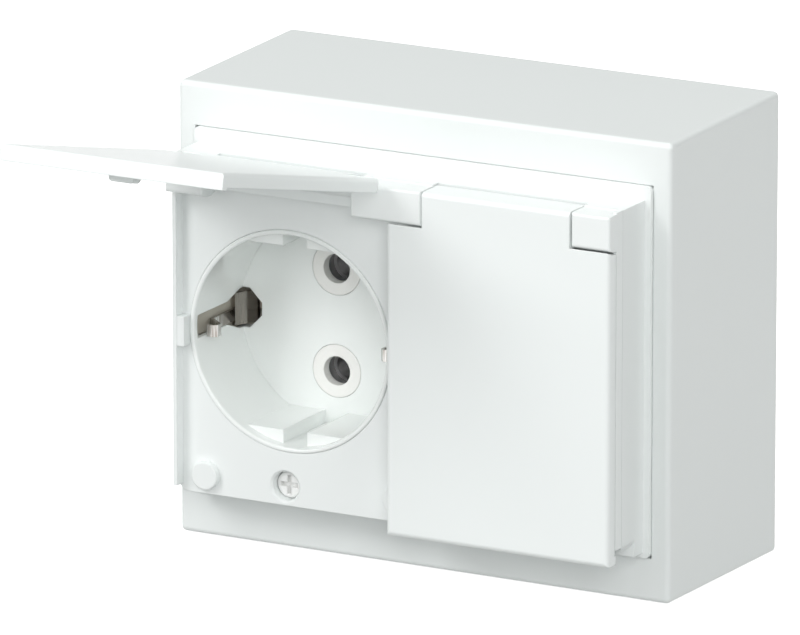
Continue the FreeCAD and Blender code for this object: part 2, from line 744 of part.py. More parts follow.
def build_lid(side_name, side):
    """A lid: front plate, side walls, lip, hinge wall with its barrel, and the catch lug."""
    body = new_body(f"{side_name}_lid")
    low, high = span(side, "sizes.lid_half_gap", lid_outer)
    pad_between(
        body, f"{side_name}_lid_plate", lid_inside, lid_front,
        lambda sketch: add_rectangle(sketch, low, high, "-sizes.lid_drop", "sizes.lid_rise"),
    )
    wall_back = f"({lid_front} - sizes.lid_wall_depth)"
    walls = front_sketch(body, f"{side_name}_lid_walls", wall_back)
    add_rectangle(walls, low, f"{low} + sizes.lid_wall", "-sizes.lid_drop", "sizes.lid_rise")
    add_rectangle(walls, f"{high} - sizes.lid_wall", high, "-sizes.lid_drop", "sizes.lid_rise")
    pad(body, walls, f"sizes.lid_wall_depth - sizes.lid_thickness / 2")
    lip = front_sketch(body, f"{side_name}_lid_lip", f"({lid_front} - sizes.lid_lip_depth)")
    add_rectangle(lip, low, high, "-sizes.lid_drop", "-(sizes.lid_drop - sizes.lid_lip_thickness)")
    pad(body, lip, "sizes.lid_lip_depth - sizes.lid_thickness / 2")
    inner_ear, outer_ear = span(
        side, f"({middle_ear_side} + sizes.ear_side_clearance)",
        f"({end_ear_inner} - sizes.ear_side_clearance)",
    )
    hinge_wall = side_sketch(body, f"{side_name}_hinge_wall", inner_ear)
    add_rectangle(
        hinge_wall, f"-({lid_front} - sizes.lid_thickness / 2)", f"-({lid_front} - sizes.hinge_wall_depth)",
        "sizes.lid_rise - sizes.hinge_wall_thickness", "sizes.lid_rise",
    )
    pad(body, hinge_wall, f"({outer_ear}) - ({inner_ear})")
    barrel = side_sketch(body, f"{side_name}_barrel", inner_ear)
    add_circle(barrel, f"-{hinge_reach}", "sizes.hinge_rise", "sizes.hinge_barrel_radius")
    pad(body, barrel, f"({outer_ear}) - ({inner_ear})")
    front = number(lid_front)
    blend_edges(
        body, "PartDesign::Fillet", f"{side_name}_lid_edges", "sizes.lid_edge_round",
        lambda edge: lies_at_reach(edge, front),
    )
    notches = (
        ("low", f"({low} - sizes.margin)", inner_ear),
        ("high", outer_ear, f"({high} + sizes.margin)"),
    )
    for place, notch_low, notch_high in notches:
        notch = side_sketch(body, f"{side_name}_{place}_notch", notch_high)
        add_circle(
            notch, f"-{hinge_reach}", "sizes.hinge_rise", "sizes.ear_radius + sizes.ear_clearance"
        )
        cut(body, notch, f"({notch_high}) - ({notch_low})")
    bore = side_sketch(body, f"{side_name}_lid_bore", f"({outer_ear}) + sizes.margin")
    add_circle(
        bore, f"-{hinge_reach}", "sizes.hinge_rise",
        "sizes.hinge_pin_diameter / 2 + sizes.hinge_bore_clearance",
    )
    cut(body, bore, f"({outer_ear}) - ({inner_ear}) + 2 * sizes.margin")
    lug = front_sketch(body, f"{side_name}_lug", f"({lid_front} - sizes.lug_depth)")
    add_rectangle(
        lug, f"{cup_centre(side)} - sizes.lug_width / 2", f"{cup_centre(side)} + sizes.lug_width / 2",
        "-(sizes.lug_drop + sizes.lug_height / 2)", "-(sizes.lug_drop - sizes.lug_height / 2)",
    )
    pad(body, lug, "sizes.lug_depth - sizes.lid_thickness / 2")
    lug_back = number(f"{lid_front} - sizes.lug_depth")
    blend_edges(
        body, "PartDesign::Fillet", f"{side_name}_lug_corners", "sizes.lug_round",
        lambda edge: lies_at_reach(edge, lug_back) and is_line_along(edge, FreeCAD.Vector(0, 0, 1)),
    )
    return body


def open_lid(body):
    """Turns a lid about its hinge from shut to open."""
    axis = FreeCAD.Vector(0, -number(hinge_reach), number("sizes.hinge_rise"))
    turn = FreeCAD.Rotation(FreeCAD.Vector(1, 0, 0), -number("sizes.open_angle"))
    body.Placement = FreeCAD.Placement(FreeCAD.Vector(0, 0, 0), turn, axis)


def build_hinge_pin(side_name, side):
    """A steel rod through the lid's barrel, pressed into the ears at both ends."""
    body = new_body(f"{side_name}_hinge_pin")
    low, high = span(side, "sizes.hinge_pin_end_cover", f"({rim_outer} - sizes.hinge_pin_end_cover)")
    rod = side_sketch(body, f"{side_name}_rod", low)
    add_circle(rod, f"-{hinge_reach}", "sizes.hinge_rise", "sizes.hinge_pin_diameter / 2")
    pad(body, rod, f"({high}) - ({low})")


def add_cup_cavity(body, side_name, side):
    """Cuts the cup's inside, which leaves a flat guide shelf with a notch above and below."""
    sketch = front_sketch(body, f"{side_name}_cup_inside", f"({cup_front} - sizes.shelf_below_rim)")
    centre = FreeCAD.Vector(number(cup_centre(side)), -number("sizes.cup_drop"), 0)
    radius = number("sizes.cup_radius")
    shelf = number("sizes.shelf_distance")
    notch = number("sizes.shelf_notch / 2")
    chord = math.sqrt(radius**2 - shelf**2)
    deep = math.sqrt(radius**2 - notch**2)
    corners = [
        (chord, shelf), (notch, shelf), (notch, deep),
        (-notch, deep), (-notch, shelf), (-chord, shelf),
        (-chord, -shelf), (-notch, -shelf), (-notch, -deep),
        (notch, -deep), (notch, -shelf), (chord, -shelf),
    ]
    points = [centre + FreeCAD.Vector(across, up, 0) for across, up in corners]
    circle = Part.Circle(centre, FreeCAD.Vector(0, 0, 1), radius)
    arcs = {2, 5, 8, 11}
    for i, (across, up) in enumerate(corners):
        after = (i + 1) % len(corners)
        if i in arcs:
            start = math.atan2(up, across)
            end = math.atan2(corners[after][1], corners[after][0])
            sketch.addGeometry(Part.ArcOfCircle(circle, start, end), False)
        else:
            sketch.addGeometry(Part.LineSegment(points[i], points[after]), False)
    for i in range(len(corners)):
        sketch.addConstraint(Sketcher.Constraint("Coincident", i, 2, (i + 1) % len(corners), 1))
    for arc in sorted(arcs):
        bind(sketch, Sketcher.Constraint("DistanceX", -1, 1, arc, 3, centre.x), cup_centre(side))
        bind(sketch, Sketcher.Constraint("DistanceY", -1, 1, arc, 3, centre.y), "-sizes.cup_drop")
        bind(sketch, Sketcher.Constraint("Radius", arc, radius), "sizes.cup_radius")
    for level, lines in ((1, (0, 4)), (-1, (6, 10))):
        for line in lines:
            sketch.addConstraint(Sketcher.Constraint("Horizontal", line))
            height = f"-sizes.cup_drop + {level} * sizes.shelf_distance"
            bind(sketch, Sketcher.Constraint("DistanceY", -1, 1, line, 1, number(height)), height)
    for line, direction in ((1, 1), (3, -1), (7, -1), (9, 1)):
        sketch.addConstraint(Sketcher.Constraint("Vertical", line))
        across = f"{cup_centre(side)} + {direction} * sizes.shelf_notch / 2"
        bind(sketch, Sketcher.Constraint("DistanceX", -1, 1, line, 1, number(across)), across)
    cut(body, sketch, "sizes.cup_depth - sizes.shelf_below_rim")


def build_socket_cup(side_name, side):
    """A cup with its ring, floor, guide shelves, pin holes and slots for the earth clips."""
    body = new_body(f"{side_name}_socket_cup")
    place = (cup_centre(side), "-sizes.cup_drop")
    pad_between(
        body, f"{side_name}_cup_wall", cup_floor_back, cup_front,
        lambda sketch: add_circle(sketch, *place, cup_outer),
    )
    pad_between(
        body, f"{side_name}_cup_flange", cup_flange_back, plate_back,
        lambda sketch: add_circle(sketch, *place, f"{cup_outer} + sizes.cup_flange_width"),
    )
    bosses = front_sketch(body, f"{side_name}_cup_bosses", f"({cup_floor_back} - sizes.carrier_boss_length)")
    pilots = front_sketch(body, f"{side_name}_cup_pilots", cup_floor_back)
    for across, up in carrier_screw_places(side):
        add_circle(bosses, across, up, "sizes.carrier_boss_diameter / 2")
        add_circle(pilots, across, up, "sizes.small_screw_diameter / 2")
    pad(body, bosses, "sizes.carrier_boss_length + sizes.cup_floor / 2")
    cut(body, pilots, "sizes.carrier_boss_length + sizes.margin")
    shelf_front = f"({cup_front} - sizes.shelf_below_rim)"
    cut_between(
        body, f"{side_name}_cup_mouth", shelf_front, f"({cup_front} + sizes.margin)",
        lambda sketch: add_circle(sketch, *place, "sizes.cup_radius"),
    )
    mouth = number("sizes.cup_radius")
    ring = number(cup_outer)
    front = number(cup_front)
    blend_edges(
        body, "PartDesign::Fillet", f"{side_name}_ring_edges", "sizes.cup_rim_round",
        lambda edge: is_circle_at(edge, mouth, front) or is_circle_at(edge, ring, front),
    )
    add_cup_cavity(body, side_name, side)
    holes = front_sketch(body, f"{side_name}_bush_holes", f"({cup_floor_front} + sizes.margin)")
    for level in (-1, 1):
        add_circle(
            holes, cup_centre(side), f"-sizes.cup_drop + {level} * sizes.pin_spacing / 2",
            "sizes.bush_diameter / 2 + sizes.bush_clearance",
        )
    cut(body, holes, "sizes.cup_floor + 2 * sizes.margin")
    add_clip_slots(body, side_name, side)


def add_clip_slots(body, side_name, side):
    """Slots in the cup's wall and pockets in its floor, left and right, for the earth clips."""
    floor_pockets = front_sketch(body, f"{side_name}_floor_pockets", f"({cup_floor_front} + 0.5)")
    outside = f"({cup_outer} + sizes.margin)"
    flare_end = "(sizes.pocket_inner_distance + (sizes.slot_wide_height - sizes.pocket_inner_height) / 2)"
    for direction in (-1, 1):
        corners = [
            ("sizes.pocket_inner_distance", "-sizes.pocket_inner_height / 2"),
            (flare_end, "-sizes.slot_wide_height / 2"),
            (outside, "-sizes.slot_wide_height / 2"),
            (outside, "sizes.slot_wide_height / 2"),
            (flare_end, "sizes.slot_wide_height / 2"),
            ("sizes.pocket_inner_distance", "sizes.pocket_inner_height / 2"),
        ]
        add_polygon(floor_pockets, [
            (f"{cup_centre(side)} + {direction} * {across}", f"-sizes.cup_drop + ({up})")
            for across, up in corners
        ])
    cut(body, floor_pockets, "sizes.cup_floor + sizes.margin")
    slot_front = f"({cup_front} - sizes.slot_front_depth)"
    taper_start = f"({cup_front} - sizes.slot_taper_start_depth)"
    taper_end = f"({cup_front} - sizes.slot_taper_end_depth)"
    for name, direction in (("near", -1), ("far", 1)):
        start = f"({cup_centre(side)} + {direction} * sizes.strap_nose_distance)"
        end = f"({cup_centre(side)} + {direction} * {outside})"
        low, high = (start, end) if direction > 0 else (end, start)
        slot = side_sketch(body, f"{side_name}_{name}_slot", high)
        outline = [
            (cup_floor_front, "-sizes.slot_wide_height / 2"),
            (taper_end, "-sizes.slot_wide_height / 2"),
            (taper_start, "-sizes.slot_height / 2"),
            (slot_front, "-sizes.slot_height / 2"),
            (slot_front, "sizes.slot_height / 2"),
            (taper_start, "sizes.slot_height / 2"),
            (taper_end, "sizes.slot_wide_height / 2"),
            (cup_floor_front, "sizes.slot_wide_height / 2"),
        ]
        add_polygon(slot, [(f"-({reach})", f"-sizes.cup_drop + ({up})") for reach, up in outline])
        cut(body, slot, f"({high}) - ({low})")


def carrier_screw_places(side):
    """X and Z of the two screws that hold a carrier to its cup."""
    return [
        (
            f"{cup_centre(side)} + {direction} * sizes.carrier_screw_across",
            f"-sizes.cup_drop - {direction} * sizes.carrier_screw_up",
        )
        for direction in (-1, 1)
    ]


def build_pin_bushes(side_name, side):
    """The two round bushes in a cup's floor, each with a pin hole."""
    body = new_body(f"{side_name}_pin_bushes")

    def draw(sketch):
        for level in (-1, 1):
            place = (cup_centre(side), f"-sizes.cup_drop + {level} * sizes.pin_spacing / 2")
            add_circle(sketch, *place, "sizes.bush_diameter / 2")
            add_circle(sketch, *place, "sizes.pin_hole_diameter / 2")

    pad_between(body, f"{side_name}_bush_rings", cup_floor_back, cup_floor_front, draw)


def build_contact_carrier(side_name, side):
    """The insulating block behind a cup, with arms that back the wall slots."""
    body = new_body(f"{side_name}_contact_carrier")
    centre = cup_centre(side)
    pad_between(
        body, f"{side_name}_carrier_disc", carrier_back, cup_floor_back,
        lambda sketch: add_circle(sketch, centre, "-sizes.cup_drop", "sizes.carrier_radius"),
    )
    bar_low = "-sizes.cup_drop - sizes.carrier_bar_height / 2"
    bar_high = "-sizes.cup_drop + sizes.carrier_bar_height / 2"
    pad_between(
        body, f"{side_name}_carrier_bar", f"({cup_floor_back} - sizes.carrier_bar_depth)", cup_floor_back,
        lambda sketch: add_rectangle(
            sketch, f"{centre} - {arm_outer}", f"{centre} + {arm_outer}", bar_low, bar_high
        ),
    )
    arms = front_sketch(body, f"{side_name}_carrier_arms", f"({cup_floor_back} - sizes.margin)")
    for direction in (-1, 1):
        inner, outer = span(direction, f"({arm_outer} - sizes.carrier_arm_thickness)", arm_outer)
        add_rectangle(arms, f"{centre} + ({inner})", f"{centre} + ({outer})", bar_low, bar_high)
    tongues = front_sketch(body, f"{side_name}_carrier_tongues", f"({cup_floor_back} - sizes.margin)")
    for direction in (-1, 1):
        inner, outer = span(direction, f"({arm_outer} - sizes.carrier_arm_thickness)", arm_outer)
        add_rectangle(
            tongues, f"{centre} + ({inner})", f"{centre} + ({outer})",
            "-sizes.cup_drop - sizes.carrier_tongue_height / 2",
            "-sizes.cup_drop + sizes.carrier_tongue_height / 2",
        )
    arm_back = f"({cup_floor_back} - sizes.margin)"
    pad(body, arms, f"{cup_front} - sizes.carrier_arm_end_depth - {arm_back}")
    pad(body, tongues, f"{cup_front} - sizes.carrier_tongue_end_depth - {arm_back}")
    channel = front_sketch(body, f"{side_name}_strap_channel", f"({cup_floor_back} + 0.5)")
    channel_end = "(sizes.strap_back_distance + sizes.strap_thickness)"
    add_rectangle(
        channel, f"{centre} - {channel_end}", f"{centre} + {channel_end}",
        "-sizes.cup_drop - sizes.strap_width / 2 - sizes.channel_clearance",
        "-sizes.cup_drop + sizes.strap_width / 2 + sizes.channel_clearance",
    )
    cut(body, channel, f"{cup_floor_back} + 0.5 - {channel_floor}")
    bores = front_sketch(body, f"{side_name}_contact_bores", f"({cup_floor_back} + sizes.margin)")
    for level in (-1, 1):
        add_circle(
            bores, centre, f"-sizes.cup_drop + {level} * sizes.pin_spacing / 2",
            "sizes.contact_pin_diameter / 2 + sizes.contact_wall + sizes.contact_clearance",
        )
    add_circle(bores, centre, "-sizes.cup_drop", "sizes.terminal_screw_diameter / 2 + sizes.seat_clearance")
    cut(body, bores, f"{carrier_depth} + 2 * sizes.margin")
    sockets = front_sketch(body, f"{side_name}_boss_sockets", f"({cup_floor_back} + 0.5)")
    screw_holes = front_sketch(body, f"{side_name}_carrier_screw_holes", cup_floor_back)
    for across, up in carrier_screw_places(side):
        add_circle(sockets, across, up, "sizes.carrier_boss_diameter / 2 + sizes.screw_hole_clearance")
        add_circle(screw_holes, across, up, "sizes.small_screw_diameter / 2 + sizes.screw_hole_clearance")
    cut(body, sockets, "sizes.carrier_boss_length + 0.5")
    cut(body, screw_holes, f"{carrier_depth} + sizes.margin")


def build_contact(side_name, side, pole, level):
    """A sprung sleeve for one pin, with its terminal block behind the carrier."""
    body = new_body(f"{side_name}_{pole}_contact")
    centre = cup_centre(side)
    up = f"(-sizes.cup_drop + {level} * sizes.pin_spacing / 2)"
    sleeve_front = f"({cup_floor_back} - sizes.contact_sleeve_inset)"
    label = f"{side_name}_{pole}"
    pad_between(
        body, f"{label}_sleeve", f"({carrier_back} - sizes.margin)", sleeve_front,
        lambda sketch: add_circle(sketch, centre, up, "sizes.contact_pin_diameter / 2 + sizes.contact_wall"),
    )
    bore_back = f"({carrier_back} + 2 * sizes.margin)"
    cut_between(
        body, f"{label}_sleeve_bore", bore_back, f"({sleeve_front} + sizes.margin)",
        lambda sketch: add_circle(sketch, centre, up, "sizes.contact_pin_diameter / 2"),
    )
    cut_between(
        body, f"{label}_sleeve_slit", f"(({carrier_back} + {sleeve_front}) / 2)",
        f"({sleeve_front} + sizes.margin)",
        lambda sketch: add_rectangle(
            sketch, f"{centre} - sizes.contact_slit / 2", f"{centre} + sizes.contact_slit / 2",
            f"{up} - sizes.terminal_width / 2", f"{up} + sizes.terminal_width / 2",
        ),
    )
    add_terminal(body, label, centre, up)


def add_terminal(body, label, centre, up):
    """A terminal block behind the carrier, with a wire hole and a hole for its screw."""
    pad_between(
        body, f"{label}_terminal", terminal_back, carrier_back,
        lambda sketch: add_rectangle(
            sketch, f"{centre} - sizes.terminal_width / 2", f"{centre} + sizes.terminal_width / 2",
            f"{up} - sizes.terminal_height / 2", f"{up} + sizes.terminal_height / 2",
        ),
    )
    middle = f"-({terminal_back} + sizes.terminal_depth / 2)"
    wire = side_sketch(body, f"{label}_wire_hole", f"{centre} + sizes.terminal_width")
    add_circle(wire, middle, up, "sizes.wire_hole_diameter / 2")
    cut(body, wire, "2 * sizes.terminal_width")
    screw_hole = front_sketch(body, f"{label}_screw_hole", f"({terminal_back} + sizes.terminal_depth / 2)")
    add_circle(screw_hole, centre, up, "sizes.terminal_screw_diameter / 2")
    cut(body, screw_hole, "sizes.terminal_depth")


def build_earth_terminal(side_name, side):
    """The earth terminal behind the carrier, with the stud that reaches the strap."""
    body = new_body(f"{side_name}_earth_terminal")
    centre = cup_centre(side)
    pad_between(
        body, f"{side_name}_earth_stud", f"({carrier_back} - sizes.margin)", channel_floor,
        lambda sketch: add_circle(sketch, centre, "-sizes.cup_drop", "sizes.terminal_screw_diameter / 2"),
    )
    add_terminal(body, f"{side_name}_earth", centre, "(-sizes.cup_drop)")


def build_terminal_screws(side_name, side):
    """The three clamping screws in a cup's terminals, entered from behind."""
    body = new_body(f"{side_name}_terminal_screws")
    shanks = front_sketch(body, f"{side_name}_terminal_shanks", terminal_back)
    head_level = f"({terminal_back} - sizes.terminal_head_height)"
    heads = front_sketch(body, f"{side_name}_terminal_heads", head_level)
    slot_level = f"({terminal_back} - sizes.terminal_head_height / 2)"
    slots = front_sketch(body, f"{side_name}_terminal_slots", slot_level)
    for level in (-1, 0, 1):
        up = f"-sizes.cup_drop + {level} * sizes.pin_spacing / 2"
        add_circle(shanks, cup_centre(side), up, "sizes.terminal_screw_diameter / 2")
        add_circle(heads, cup_centre(side), up, "sizes.terminal_head_diameter / 2")
        add_rectangle(
            slots, f"{cup_centre(side)} - sizes.terminal_head_diameter",
            f"{cup_centre(side)} + sizes.terminal_head_diameter",
            f"{up} - sizes.contact_slit / 2", f"{up} + sizes.contact_slit / 2",
        )
    pad(body, shanks, "sizes.terminal_depth / 2 - sizes.wire_hole_diameter / 4")
    pad(body, heads, "sizes.terminal_head_height")
    cut(body, slots, "sizes.terminal_head_height")


def build_earth_strap(side_name, side):
    """One bent strip: a foot behind the cup's floor and a springy clip up each side."""
    body = new_body(f"{side_name}_earth_strap")
    centre = cup_centre(side)
    thickness = "sizes.strap_thickness"
    foot_top = f"({channel_floor} + {thickness})"
    bend = f"({cup_front} - sizes.strap_bend_depth)"
    level = "(-sizes.cup_drop)"
    foot = plan_sketch(body, f"{side_name}_strap_foot", level)
    foot_corners = [
        ("-sizes.strap_foot_distance", channel_floor), ("sizes.strap_foot_distance", channel_floor),
        (f"(sizes.strap_foot_distance + {thickness})", f"({foot_top} + {thickness})"),
        (f"(sizes.strap_back_distance + {thickness} / 2)", bend),
        (f"(sizes.strap_back_distance - {thickness} / 2)", bend),
        (f"(sizes.strap_foot_distance - {thickness} / 2)", foot_top),
        (f"-(sizes.strap_foot_distance - {thickness} / 2)", foot_top),
        (f"-(sizes.strap_back_distance - {thickness} / 2)", bend),
        (f"-(sizes.strap_back_distance + {thickness} / 2)", bend),
        (f"-(sizes.strap_foot_distance + {thickness})", f"({foot_top} + {thickness})"),
    ]
    add_polygon(foot, [(f"{centre} + ({across})", f"-({reach})") for across, reach in foot_corners])
    pad(body, foot, "sizes.strap_width", middle=True)
    tip = plan_sketch(body, f"{side_name}_strap_tips", f"{level} - sizes.strap_tip_drop")
    outer = f"(sizes.strap_back_distance + {thickness} / 2)"
    inner = f"(sizes.strap_back_distance - {thickness} / 2)"
    nose = "sizes.strap_nose_distance"
    nose_back = f"({cup_front} - sizes.strap_nose_depth)"
    nose_front = f"({nose_back} + sizes.strap_nose_length)"
    ramp_start = f"({nose_back} - sizes.strap_nose_ramp)"
    hook_end = f"({nose} + sizes.strap_hook_length)"
    tip_corners = [
        (outer, f"({bend} - {thickness} / 2)"), (outer, ramp_start),
        (f"({nose} + {thickness})", f"({nose_back} + {thickness} / 2)"),
        (f"({nose} + {thickness})", nose_front),
        (hook_end, nose_front), (hook_end, f"({nose_front} + {thickness})"),
        (f"({nose} + {thickness})", f"({nose_front} + {thickness})"),
        (nose, nose_front), (nose, nose_back),
        (inner, f"({ramp_start} - {thickness} / 2)"), (inner, f"({bend} - {thickness} / 2)"),
    ]
    for direction in (-1, 1):
        add_polygon(tip, [
            (f"{centre} + {direction} * ({across})", f"-({reach})") for across, reach in tip_corners
        ])
    pad(body, tip, "sizes.strap_tip_width", middle=True)


def build_retainer(name, inner, outer, direction):
    """A bar across the back of both cup flanges, with a bite for each cup."""
    body = new_body(name)
    front = cup_flange_back
    back = f"({front} - sizes.retainer_thickness)"
    low, high = (inner, outer) if direction > 0 else (f"-{outer}", f"-{inner}")
    pad_between(
        body, f"{name}_bar", back, front,
        lambda sketch: add_rectangle(
            sketch, f"-{retainer_half}", retainer_half, low, high
        ),
    )
    bites = front_sketch(body, f"{name}_bites", f"({front} + sizes.margin)")
    for side in sides.values():
        add_circle(bites, cup_centre(side), "-sizes.cup_drop", f"{cup_outer} + sizes.seat_clearance")
    cut(body, bites, "sizes.retainer_thickness + 2 * sizes.margin")
    holes = front_sketch(body, f"{name}_screw_holes", f"({front} + sizes.margin)")
    for across, up in retainer_screw_places():
        if number(up) * direction > 0:
            add_circle(holes, across, up, "sizes.small_screw_diameter / 2 + sizes.screw_hole_clearance")
    cut(body, holes, "sizes.retainer_thickness + 2 * sizes.margin")
    if direction < 0:
        clearances = front_sketch(body, f"{name}_boss_notches", f"({front} + sizes.margin)")
        for side in sides.values():
            add_circle(
                clearances, cover_screw_centre(side), "-sizes.cover_screw_drop",
                "sizes.screw_boss_diameter / 2 + sizes.seat_clearance",
            )
        cut(body, clearances, "sizes.retainer_thickness + 2 * sizes.margin")


def build_small_screws(name, places, seat, length):
    """Pan-head screws entered from behind: heads under a seat, shanks forward of it."""
    body = new_body(name)
    shanks = front_sketch(body, f"{name}_shanks", seat)
    heads = front_sketch(body, f"{name}_heads", f"({seat} - sizes.small_screw_head_height)")
    for across, up in places:
        add_circle(shanks, across, up, "sizes.small_screw_diameter / 2")
        add_circle(heads, across, up, "sizes.small_screw_head / 2")
    pad(body, shanks, length)
    pad(body, heads, "sizes.small_screw_head_height")
    seat_level = number(f"{seat} - sizes.small_screw_head_height")
    blend_edges(
        body, "PartDesign::Fillet", f"{name}_head_edges", "sizes.small_screw_head_height / 3",
        lambda edge: lies_at_reach(edge, seat_level),
    )


def build_cover_screws():
    """The two cross-slotted screws in the recesses under the cups."""
    body = new_body("cover_screws")
    shanks = front_sketch(body, "cover_screw_shanks", f"({recess_floor} - sizes.cover_screw_length)")
    heads = front_sketch(body, "cover_screw_heads", recess_floor)
    head_top = f"({recess_floor} + sizes.cover_screw_head_height)"
    slots = front_sketch(body, "cover_screw_slots", head_top)
    cross_slots = front_sketch(body, "cover_screw_cross_slots", head_top)
    long_half = "(sizes.cover_screw_slot_length / 2)"
    short_half = "(sizes.cover_screw_slot / 2)"
    for side in sides.values():
        centre = cover_screw_centre(side)
        up = "-sizes.cover_screw_drop"
        add_circle(shanks, centre, up, "sizes.cover_screw_diameter / 2")
        add_circle(heads, centre, up, "sizes.cover_screw_head / 2")
        add_rectangle(
            slots, f"{centre} - {long_half}", f"{centre} + {long_half}",
            f"{up} - {short_half}", f"{up} + {short_half}",
        )
        add_rectangle(
            cross_slots, f"{centre} - {short_half}", f"{centre} + {short_half}",
            f"{up} - {long_half}", f"{up} + {long_half}",
        )
    pad(body, shanks, "sizes.cover_screw_length")
    pad(body, heads, "sizes.cover_screw_head_height")
    head_front = number(head_top)
    blend_edges(
        body, "PartDesign::Fillet", "cover_screw_head_edges", "sizes.cover_screw_head_height / 3",
        lambda edge: lies_at_reach(edge, head_front),
    )
    cut(body, slots, "sizes.cover_screw_slot_depth")
    cut(body, cross_slots, "sizes.cover_screw_slot_depth")


def build_model():
    """Builds every piece in its place."""
    build_surface_box()
    build_back_plate()
    build_entry_membranes()
    build_cover_gasket()
    build_cover_frame()
    build_cover_screws()
    retainer_seat = f"({cup_flange_back} - sizes.retainer_thickness)"
    build_retainer("upper_cup_retainer", "sizes.retainer_inner_rise", "sizes.retainer_outer_rise", 1)
    build_retainer("lower_cup_retainer", "sizes.retainer_inner_drop", "sizes.retainer_outer_drop", -1)
    retainer_grip = "sizes.retainer_thickness + sizes.cup_flange_thickness + sizes.plate_thickness / 2"
    build_small_screws("retainer_screws", retainer_screw_places(), retainer_seat, retainer_grip)
    carrier_places = carrier_screw_places(-1) + carrier_screw_places(1)
    carrier_grip = f"{carrier_depth} - sizes.margin"
    build_small_screws("carrier_screws", carrier_places, carrier_back, carrier_grip)
    for side_name, side in sides.items():
        lid = build_lid(side_name, side)
        if side_name == "left":
            open_lid(lid)
        build_hinge_pin(side_name, side)
        build_socket_cup(side_name, side)
        build_pin_bushes(side_name, side)
        build_contact_carrier(side_name, side)
        build_earth_strap(side_name, side)
        build_earth_terminal(side_name, side)
        build_terminal_screws(side_name, side)
        for pole, level in (("line", 1), ("neutral", -1)):
            build_contact(side_name, side, pole, level)


def check_and_write():
    """Stops on any failed object, then writes one file for each piece."""
    doc.recompute()
    stop_on_failed_objects()
    os.makedirs("parts", exist_ok=True)
    for body in kept_parts:
        if body.Shape.isNull() or not body.Shape.isValid():
            raise RuntimeError(f"{body.Label} has no valid shape")
    for body in kept_parts:
        body.Shape.exportStep(f"parts/{body.Label}.step")
        print(f"{body.Label}: {len(body.Shape.Solids)} solids, {body.Shape.Volume:.1f} mm3")


build_model()
check_and_write()
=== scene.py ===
import json
import math

import bpy
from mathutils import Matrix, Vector


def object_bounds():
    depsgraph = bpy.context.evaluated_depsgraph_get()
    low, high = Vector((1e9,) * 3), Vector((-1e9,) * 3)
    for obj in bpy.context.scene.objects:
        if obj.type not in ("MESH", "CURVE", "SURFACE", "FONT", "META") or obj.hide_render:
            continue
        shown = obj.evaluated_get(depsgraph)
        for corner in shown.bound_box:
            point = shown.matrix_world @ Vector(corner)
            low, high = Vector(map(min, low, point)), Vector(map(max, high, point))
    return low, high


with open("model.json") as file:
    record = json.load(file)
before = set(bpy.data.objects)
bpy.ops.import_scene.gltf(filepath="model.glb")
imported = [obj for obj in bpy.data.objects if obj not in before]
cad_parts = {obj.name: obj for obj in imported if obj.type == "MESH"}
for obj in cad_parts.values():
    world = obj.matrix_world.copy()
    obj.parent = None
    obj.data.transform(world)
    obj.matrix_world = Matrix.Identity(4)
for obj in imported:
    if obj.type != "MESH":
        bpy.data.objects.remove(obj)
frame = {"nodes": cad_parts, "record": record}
cad_low, cad_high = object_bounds()

# The camera stands to the right of the socket and above it, and looks at it through a long lens.
camera_place = Vector((0.9395, -1.7735, 0.5337))
camera_azimuth = math.radians(28.583)
camera_drop = math.radians(15.036)
camera_lens = 516.6
camera_sensor = 36.0
nearest_seen = 0.05
farthest_seen = 50.0

# Colours of the mouldings, the metals and the floor, as linear values.
box_white = (0.840, 0.872, 0.864)
cover_white = (0.885, 0.915, 0.908)
lid_white = (0.890, 0.922, 0.915)
cup_white = (0.938, 0.967, 0.953)
bush_white = (0.950, 0.945, 0.920)
carrier_beige = (0.52, 0.49, 0.42)
# Painted shade within the carriers' pin bores.
carrier_bore_shade_grey = (0.17, 0.17, 0.17)
seal_grey = (0.62, 0.65, 0.64)
nickel_tone = (0.68, 0.68, 0.67)
# Painted shade for the earth clips, where they lie deep in the cup.
clip_shade_tone = (0.29, 0.265, 0.24)
contact_tone = (0.85, 0.85, 0.85)
steel_tone = (0.62, 0.62, 0.63)
screw_tone = (0.88, 0.885, 0.875)
floor_white = (0.93, 0.93, 0.93)

# How far in from an edge the mouldings are softened, in metres, and how many samples that takes.
soft_edge = 0.0003
soft_edge_samples = 6

# The refractive index of the mouldings' plastic.
plastic_refraction = 1.5

# How fine the marks in each material are, as noise scales: a larger number is finer.
flow_mark_scale = 9.0
drawn_line_scale = 900.0
clip_streak_scale = 2400.0
rubber_dust_scale = 160.0
rubber_grain_scale = 1500.0

# How the marks are stretched: they change little along an axis with a small number.
flow_along_z = (1.0, 1.0, 0.35)
streaks_along_z = (1.0, 1.0, 0.08)
lines_along_y = (1.0, 0.2, 1.0)
lines_along_x = (0.1, 1.0, 1.0)

# Where the painted shade on the earth clips, dark deep in the cup, gives way to shining nickel at the nose,
# as Y in metres.
clip_shaded_y = -0.0385
clip_lit_y = -0.0408

# The pin holes' centres lie this far from the middle of the box, above and below the cups' centre, in metres.
pin_across = 0.0219
cup_centre_z = -0.00094
pin_above = 0.0095
# Within this radius round each pin hole the carrier is painted dark grey as shade in the bore.
bore_shade_radius = 0.0034

# Even light comes from all round, and the soft square lights add to it. Each has its place, size and power:
# the key stands high on the left in front, and the back light only serves views from behind.
surround_tint = (0.975, 1.0, 0.985)
surround_strength = 0.34
lights = {
    "key": ((-0.9, -1.5, 1.3), 0.9, 15.3),
    "front": ((-1.1, -1.9, 0.3), 0.9, 4.6),
    "fill": ((1.02, -1.63, 0.86), 1.0, 14.5),
    "side": ((2.1, -0.5, 0.3), 0.9, 6.5),
    "top": ((-0.1, -0.5, 2.2), 0.9, 15.0),
    "back": ((-2.1, 1.0, 0.1), 0.9, 20.0),
}
light_target = Vector((0, 0, 0))

# The floor glows by itself, so that it stays white all round the socket.
floor_width = 12.0
floor_roughness = 0.9
floor_glow = 0.7


